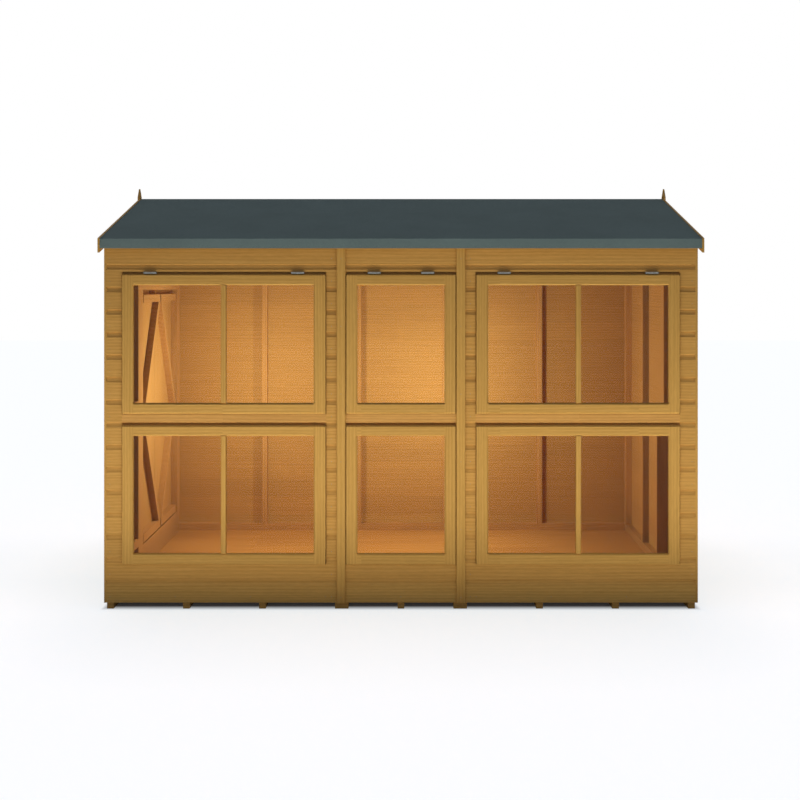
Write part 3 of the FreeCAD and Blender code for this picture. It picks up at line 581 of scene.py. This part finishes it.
def makeDoorFixings():
    outward = outwards["left"]
    plates = bmesh.new()
    for leaf, axis in teeScrews["axes"].items():
        way = 1.0 if leaf == "front" else -1.0  # from the hinge towards the other leaf
        low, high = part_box("door_" + leaf + "_boards")
        board = (high.y - low.y) / doorLeaf["boards"]
        middles = [low.y + (index + 0.5) * board for index in range(doorLeaf["boards"])]
        nails = [(middle + shift, z) for middle in middles for z in doorNails["ledges"]
                 for shift in (-doorNails["spacing"], doorNails["spacing"])]
        sheet = bmesh.new()
        addHeads(sheet, nailHead, struckFaces("left", nails, ("_boards",)), outward)
        straps = [(axis + way * reach, z) for reach in teeScrews["strap"] for z in teeScrews["middles"]]
        addHeads(sheet, screwHead, struckFaces("left", straps, ("_fittings",)), outward)
        newPiece(sheet, leaf + "DoorFixings", "door_" + leaf, zincFinish)
        seats = [(axis - way * teeScrews["plate"], middle + rise)
                 for middle in teeScrews["middles"] for rise in teeScrews["plateRise"]]
        addHeads(plates, screwHead, struckFaces("left", seats, ("door_hinge_plates",)), outward)
    newPiece(plates, "hingePlateScrews", "shed", zincFinish)


# small timber inside the doors: a stop block on the top ledge, and a bead on the sill below the leaves

stopBlock = {"along": 0.123, "width": 0.010, "tip": 1.609, "setback": 0.003, "softness": 0.0012}
sillBead = {
    "run": (-0.2265, 0.7615), "depth": (-1.4550, -1.4503), "sill": 0.1589, "gap": 0.0075, "softness": 0.001,
}


def makeBlock(name, low, high, softness, body, material):
    sheet = bmesh.new()
    shape = Matrix.Translation((low + high) / 2) @ Matrix.Diagonal((*(high - low), 1.0))
    bmesh.ops.create_cube(sheet, size=1.0, matrix=shape)
    bmesh.ops.bevel(
        sheet, geom=list(sheet.edges), offset=softness, affect="EDGES", segments=2, profile=0.5, material=-1)
    return newPiece(sheet, name, body, material)


def makeStopBlock(look):
    low = Vector((doorHigh.x, look["along"] - look["width"] / 2, braceHigh.z))
    high = Vector((braceHigh.x - look["setback"], look["along"] + look["width"] / 2, look["tip"]))
    return makeBlock("doorStopBlock", low, high, look["softness"], "door_front", backFraming)


def makeSillBead(look):
    outer, inner = look["depth"]
    start, end = look["run"]
    low = Vector((outer, start, look["sill"]))
    high = Vector((inner, end, braceLow.z - look["gap"]))
    return makeBlock("doorSillBead", low, high, look["softness"], "shed", doorFraming)


nails = makeCladdingNails()
makeDoorFixings()
makeStopBlock(stopBlock)
makeSillBead(sillBead)
print("nails, screws and door stops made:", len(nails.data.polygons), "faces of nail heads")


# camera at the photograph's place

view = {"place": (0.0265, -6.923, 1.623), "lens": 53.69, "sensor": 36.0, "shift": (-0.00775, -0.14)}
camera = bpy.data.objects.new("camera", bpy.data.cameras.new("camera"))
camera.data.sensor_width = view["sensor"]
camera.data.lens = view["lens"]
camera.data.shift_x, camera.data.shift_y = view["shift"]
camera.location = view["place"]
camera.rotation_euler = (math.radians(90.0), 0.0, 0.0)
bpy.context.scene.collection.objects.link(camera)
bpy.context.scene.camera = camera


# sky light, brighter at the horizon than overhead

sky = {"overhead": 0.21, "horizon": 0.08, "fall": 2.0, "tint": (0.86, 0.96, 1.28, 1.0)}
plainWhite = (1.0, 1.0, 1.0, 1.0)


def seenStraight(tree):  # 1 for the camera, and for glass and metal that the camera looks at
    path = addNode(tree, "LightPath").outputs
    seen = calc(tree, "ADD", path["Is Glossy Ray"], path["Is Transmission Ray"], clamp=True)
    seen = calc(tree, "MULTIPLY", seen, calc(tree, "LESS_THAN", path["Diffuse Depth"], 0.5))
    return calc(tree, "MAXIMUM", path["Is Camera Ray"], seen), path


def makeSky(look):
    world = bpy.data.worlds.new("softSky")
    bpy.context.scene.world = world
    world.use_nodes = True
    tree = world.node_tree
    back = tree.nodes["Background"]
    parts = addNode(tree, "SeparateXYZ")
    feed(tree, parts.inputs[0], addNode(tree, "TexCoord").outputs["Generated"])
    rise = calc(tree, "MAXIMUM", parts.outputs["Z"], 0.0)
    low = calc(tree, "POWER", calc(tree, "SUBTRACT", 1.0, rise), look["fall"])
    light = calc(tree, "ADD", calc(tree, "MULTIPLY", low, look["horizon"]), look["overhead"])
    straight, path = seenStraight(tree)
    light = calc(tree, "MULTIPLY", light, calc(tree, "SUBTRACT", 1.0, path["Is Transmission Ray"]))
    strength = addNode(tree, "Mix", data_type="FLOAT")
    feed(tree, strength.inputs["Factor"], straight)
    feed(tree, strength.inputs[2], light)
    strength.inputs[3].default_value = 1.0
    feed(tree, back.inputs["Color"], mixColour(tree, straight, look["tint"], plainWhite))
    feed(tree, back.inputs["Strength"], strength.outputs[0])


makeSky(sky)


# pale floor, with a painted shadow under the shed and around it

ground = {
    "size": 60.0, "colour": (0.78, 0.78, 0.78, 1.0), "rough": 0.9, "glow": 0.822,
    # painted shadow next to the shed and the tint away from it, the way between them, and how much shorter
    # that is sideways
    "near": (0.855, 0.89, 0.887, 1.0), "far": (1.0, 1.0, 0.985, 1.0), "fade": 1.25, "sideways": 1.7,
    # painted shadow left and right of the shed, where it fades, and how far the painted front shadow stays
    # off the corners
    "beside": (0.935, 0.96, 0.97, 1.0), "besideY": (-0.55, 0.1), "besideX": (0.8, 2.0), "inset": 0.3,
    "under": 0.02, "coverX": (-0.005, 0.03), "coverY": (-0.05, 0.03),  # the painted shadow under it and its edges
}


def makeGround(look):
    sheet = bmesh.new()
    bmesh.ops.create_grid(sheet, x_segments=1, y_segments=1, size=look["size"] / 2)
    mesh = bpy.data.meshes.new("ground")
    sheet.to_mesh(mesh)
    sheet.free()
    floor = bpy.data.objects.new("ground", mesh)
    bpy.context.scene.collection.objects.link(floor)
    material, tree, shader = newMaterial("paleGround")
    parts = addNode(tree, "SeparateXYZ")
    feed(tree, parts.inputs[0], addNode(tree, "TexCoord").outputs["Object"])
    _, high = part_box("floor_bearers")
    reachX = calc(tree, "SUBTRACT", calc(tree, "ABSOLUTE", parts.outputs["X"]), high.x)
    reachY = calc(tree, "SUBTRACT", calc(tree, "ABSOLUTE", parts.outputs["Y"]), high.y)
    # painted shadow of the shed on the floor's glow
    beside = spread(tree, reachY, *look["besideY"], 1.0, 0.0)
    inset = calc(tree, "MULTIPLY", calc(tree, "SUBTRACT", 1.0, beside), look["inset"])
    outX = calc(tree, "MAXIMUM", calc(tree, "ADD", reachX, inset), 0.0)
    outX = calc(tree, "MULTIPLY", outX, look["sideways"])
    outY = calc(tree, "MAXIMUM", reachY, 0.0)
    squares = calc(tree, "MULTIPLY_ADD", outX, outX, calc(tree, "MULTIPLY", outY, outY))
    away = calc(tree, "SQRT", squares)
    clear = spread(tree, away, 0.0, look["fade"], 0.0, 1.0)
    shade = mixColour(tree, clear, look["near"], look["far"])
    beside = calc(tree, "MULTIPLY", beside, spread(tree, reachX, *look["besideX"], 1.0, 0.0))
    shade = mixColour(tree, beside, shade, look["beside"], "MULTIPLY")
    coverX = spread(tree, reachX, *look["coverX"], look["under"], 1.0)
    coverY = spread(tree, reachY, *look["coverY"], look["under"], 1.0)
    cover = calc(tree, "MAXIMUM", coverX, coverY)
    glow = calc(tree, "MULTIPLY", cover, look["glow"])
    straight, _ = seenStraight(tree)
    shader.inputs["Base Color"].default_value = look["colour"]
    shader.inputs["Roughness"].default_value = look["rough"]
    shader.inputs["Specular IOR Level"].default_value = 0.0
    feed(tree, shader.inputs["Emission Color"], shade)
    feed(tree, shader.inputs["Emission Strength"], calc(tree, "MULTIPLY", glow, straight))
    mesh.materials.append(material)


makeGround(ground)


# lamps: soft light off the floor on all sides, and two small lamps inside

floorGlow = {"distance": 1.1, "width": 0.7, "spare": 0.7, "level": 7.17, "height": 0.02}  # strip lamps
roomLamps = {
    "places": {"left": (-0.88, 0.138, 1.04), "centre": (0.283, 0.134, 1.014)},
    "powers": {"left": 18.1, "centre": 24.3}, "radius": 0.02, "colour": (1.0, 1.0, 1.06),
}


def addLamp(name, kind, place):
    lamp = bpy.data.objects.new(name, bpy.data.lights.new(name, kind))
    lamp.location = place
    bpy.context.scene.collection.objects.link(lamp)
    lamp.visible_camera = False
    lamp.visible_glossy = False
    lamp.visible_transmission = False
    return lamp


def addFloorGlow(look):
    _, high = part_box("floor_bearers")
    sides = (  # name, turn, distance to the wall's foot and half its length
        ("front", 0.0, high.y, high.x), ("right", 90.0, high.x, high.y),
        ("back", 180.0, high.y, high.x), ("left", 270.0, high.x, high.y),
    )
    for side, turn, outward, half in sides:
        length = 2 * (half + look["spare"])
        swing = Matrix.Rotation(math.radians(turn), 4, "Z")
        place = swing @ Vector((0.0, -outward - look["distance"], look["height"]))
        strip = addLamp(side + "FloorGlow", "AREA", place)
        strip.data.shape = "RECTANGLE"
        strip.data.size, strip.data.size_y = length, look["width"]
        strip.data.energy = look["level"] * math.pi * length * look["width"]
        strip.rotation_euler = (math.radians(180.0), 0.0, math.radians(turn))


def addRoomLamps(look):
    for side, place in look["places"].items():
        lamp = addLamp(side + "RoomLamp", "POINT", place)
        lamp.data.energy = look["powers"][side]
        lamp.data.color = look["colour"]
        lamp.data.shadow_soft_size = look["radius"]


addFloorGlow(floorGlow)
addRoomLamps(roomLamps)
bpy.context.scene.view_settings.view_transform = "Standard"
print("camera, sky, floor and lamps set")
